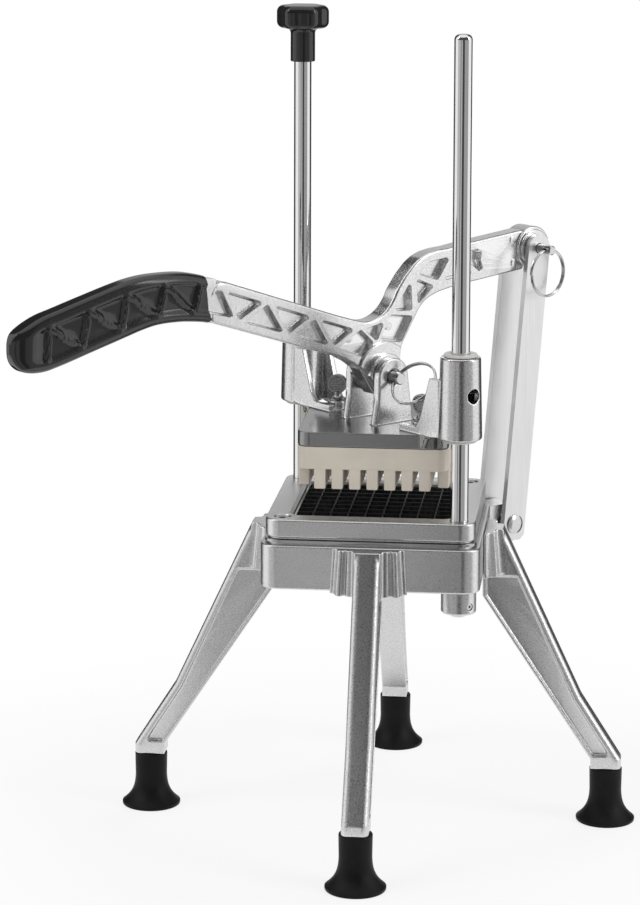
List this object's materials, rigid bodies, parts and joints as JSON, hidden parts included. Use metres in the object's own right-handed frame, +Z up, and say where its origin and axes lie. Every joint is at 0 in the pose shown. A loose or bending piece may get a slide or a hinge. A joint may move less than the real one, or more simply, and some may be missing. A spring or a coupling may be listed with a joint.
{
  "type": "french fry cutter",
  "caption": "Bench-top push-lever cutter that presses a potato through a square grid of blades into sticks, on four cast legs with rubber feet.",
  "frame": {"origin": "middle of the bottom of the bounding box, on the ground under the feet", "axes": "+Z up, -Y the front, the lever in the vertical plane through the diagonal of X and Y"},
  "size_m": [0.3216, 0.3216, 0.4502],
  "materials": {
    "cast_aluminium": "satin",
    "polished_steel": "polished",
    "link_steel": "brushed",
    "blade_steel": "dark",
    "rubber": "matte",
    "black_vinyl": "gloss",
    "white_plastic": "satin"
  },
  "bodies": {
    "base": {"base_casting": "cast_aluminium", "leg_right": "cast_aluminium", "leg_back": "cast_aluminium", "leg_left": "cast_aluminium", "leg_front": "cast_aluminium", "leg_screw_right": "polished_steel", "leg_screw_back": "polished_steel", "leg_screw_left": "polished_steel", "leg_screw_front": "polished_steel", "foot_right": "rubber", "foot_back": "rubber", "foot_left": "rubber", "foot_front": "rubber", "blade_frame": "polished_steel", "blade_across_1": "blade_steel", "blade_across_2": "blade_steel", "blade_across_3": "blade_steel", "blade_across_4": "blade_steel", "blade_across_5": "blade_steel", "blade_across_6": "blade_steel", "blade_across_7": "blade_steel", "blade_across_8": "blade_steel", "blade_along_1": "blade_steel", "blade_along_2": "blade_steel", "blade_along_3": "blade_steel", "blade_along_4": "blade_steel", "blade_along_5": "blade_steel", "blade_along_6": "blade_steel", "blade_along_7": "blade_steel", "blade_along_8": "blade_steel", "top_frame": "cast_aluminium", "frame_screw_back": "polished_steel", "frame_screw_front": "polished_steel", "guide_rod_near": "polished_steel", "guide_rod_far": "polished_steel", "set_screw_near": "blade_steel", "set_screw_far": "blade_steel"},
    "knob": {"rod_knob": "black_vinyl"},
    "pusher": {"pusher_head": "cast_aluminium", "pusher_block": "white_plastic", "guide_bush_upper_near": "white_plastic", "guide_bush_lower_near": "white_plastic", "guide_bush_upper_far": "white_plastic", "guide_bush_lower_far": "white_plastic"},
    "thumb_screw_a": {"thumb_screw_near": "polished_steel"},
    "thumb_screw_b": {"thumb_screw_far": "polished_steel"},
    "lever": {"lever": "cast_aluminium", "lever_grip": "black_vinyl"},
    "clevis_pin": {"mid_pin": "polished_steel", "mid_ring": "polished_steel"},
    "links": {"link_near": "link_steel", "link_far": "link_steel", "link_pivot_pin": "polished_steel", "link_pivot_nut": "polished_steel"},
    "rear_pin": {"rear_pin": "polished_steel", "rear_ring": "polished_steel"}
  },
  "joints": [
    {"name": "pusher_slide", "type": "slide", "parent": "base", "child": "pusher", "axis": [0, 0, 1], "range_m": [-0.027, 0.03]},
    {"name": "lever_swing", "type": "hinge", "parent": "pusher", "child": "lever", "pos_m": [0.01529, 0.01529, 0.2508], "axis": [0.7071, -0.7071, 0], "range_deg": [-17, 15.5]},
    {"name": "link_swing", "type": "hinge", "parent": "lever", "child": "links", "pos_m": [0.09328, 0.09328, 0.3115], "axis": [0.7071, -0.7071, 0], "range_deg": [-10, 11]},
    {"name": "clevis_pin_turn", "type": "hinge", "parent": "pusher", "child": "clevis_pin", "pos_m": [0.01529, 0.01529, 0.2508], "axis": [0.7071, -0.7071, 0], "range_deg": [-60, 10]},
    {"name": "rear_pin_turn", "type": "hinge", "parent": "links", "child": "rear_pin", "pos_m": [0.09328, 0.09328, 0.3115], "axis": [0.7071, -0.7071, 0], "range_deg": [-60, 60]},
    {"name": "thumb_screw_a_turn", "type": "hinge", "parent": "pusher", "child": "thumb_screw_a", "pos_m": [0.04181, -0.00911, 0.231], "axis": [0, 0, 1], "continuous": true},
    {"name": "thumb_screw_b_turn", "type": "hinge", "parent": "pusher", "child": "thumb_screw_b", "pos_m": [-0.00911, 0.04181, 0.231], "axis": [0, 0, 1], "continuous": true},
    {"name": "knob_turn", "type": "hinge", "parent": "base", "child": "knob", "pos_m": [-0.03165, 0.06435, 0.437], "axis": [0, 0, 1], "continuous": true}
  ],
  "couplings": [
    {"joint": "lever_swing", "follows": "pusher_slide", "rad_per_m": -9.32},
    {"joint": "link_swing", "follows": "pusher_slide", "rad_per_m": 5.78}
  ]
}
